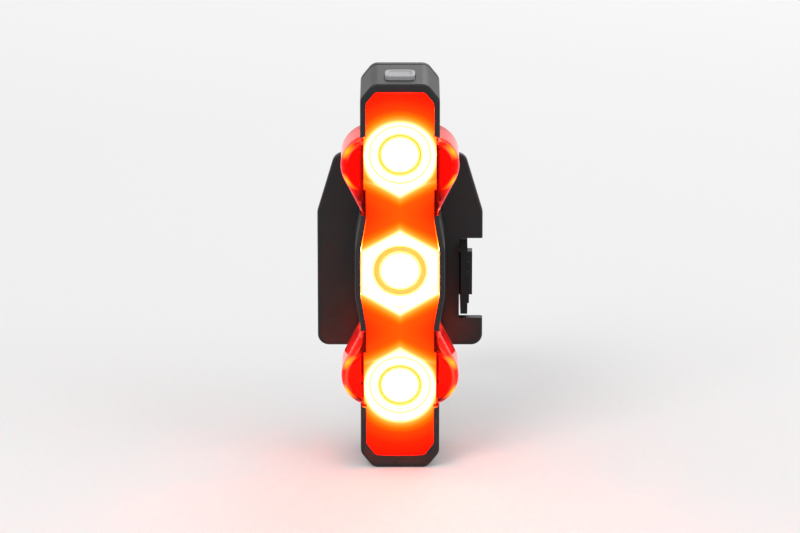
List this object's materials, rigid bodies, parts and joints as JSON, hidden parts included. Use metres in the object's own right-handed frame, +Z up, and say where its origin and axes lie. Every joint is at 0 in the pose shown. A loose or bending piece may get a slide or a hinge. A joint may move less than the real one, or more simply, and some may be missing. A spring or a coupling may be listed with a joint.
{
  "type": "bicycle tail light",
  "caption": "Slim strap-mounted bicycle tail light with round and hexagonal optics in a row, side windows, a top power button and a charging port under a flap.",
  "frame": {"origin": "on the seatpost's axis, at the middle of the strap's height", "axes": "+Z up along the seatpost, the lens faces -Y, +X to the right seen from behind the bicycle"},
  "size_m": [0.037, 0.0561, 0.0889],
  "materials": {
    "housing_black": "fine satin texture",
    "lens_red": "clear red polycarbonate",
    "optic_clear": "clear moulded optic",
    "emitter": "lit emitter",
    "rubber_black": "matte silicone rubber",
    "button_grey": "translucent matte",
    "board_green": "solder mask",
    "chip_black": "moulded epoxy",
    "steel": "plain",
    "cell_wrap": "foil pouch",
    "foam": "closed foam",
    "wire": "wire insulation"
  },
  "bodies": {
    "mount": {"saddle_pad": "rubber_black", "bracket_body": "housing_black", "strap_pin": "steel", "catch_spring": "steel", "catch_rivet": "steel", "strap_band": "rubber_black"},
    "strap_end": {"strap_tail": "rubber_black"},
    "light": {"rear_cover": "housing_black", "cover_gasket": "rubber_black", "front_housing": "housing_black", "outer_lens": "lens_red", "optic_bezel": "housing_black", "optic_tray": "housing_black", "side_leds": "emitter", "main_board": "board_green", "driver_chip": "chip_black", "controller_chip": "chip_black", "inductor": "chip_black", "capacitors": "chip_black", "switch_body": "chip_black", "button_seal": "rubber_black", "usb_shell": "steel", "usb_tongue": "chip_black", "battery_cell": "cell_wrap", "battery_foam": "foam", "battery_guard": "board_green", "battery_leads": "wire", "cover_screws": "steel", "board_screws": "steel", "upper_collimator": "optic_clear", "upper_led_base": "emitter", "upper_led_dome": "emitter", "middle_collimator": "optic_clear", "middle_led_base": "emitter", "middle_led_dome": "emitter", "lower_collimator": "optic_clear", "lower_led_base": "emitter", "lower_led_dome": "emitter"},
    "button": {"power_button": "button_grey", "switch_stem": "chip_black"},
    "flap": {"port_cover": "rubber_black"}
  },
  "joints": [
    {"name": "light_slide", "type": "slide", "parent": "mount", "child": "light", "axis": [0, 0, 1], "range_m": [0, 0.022]},
    {"name": "button_press", "type": "slide", "parent": "light", "child": "button", "axis": [0, 0, -1], "range_m": [0, 0.0007], "stiffness_N_per_m": 900},
    {"name": "port_cover_swing", "type": "hinge", "parent": "light", "child": "flap", "pos_m": [0, -0.02497, -0.0363], "axis": [1, 0, 0], "range_deg": [0, 110]},
    {"name": "strap_peel", "type": "hinge", "parent": "mount", "child": "strap_end", "pos_m": [0.01435, -0.004, 0], "axis": [0, 0, 1], "range_deg": [0, 90]}
  ]
}
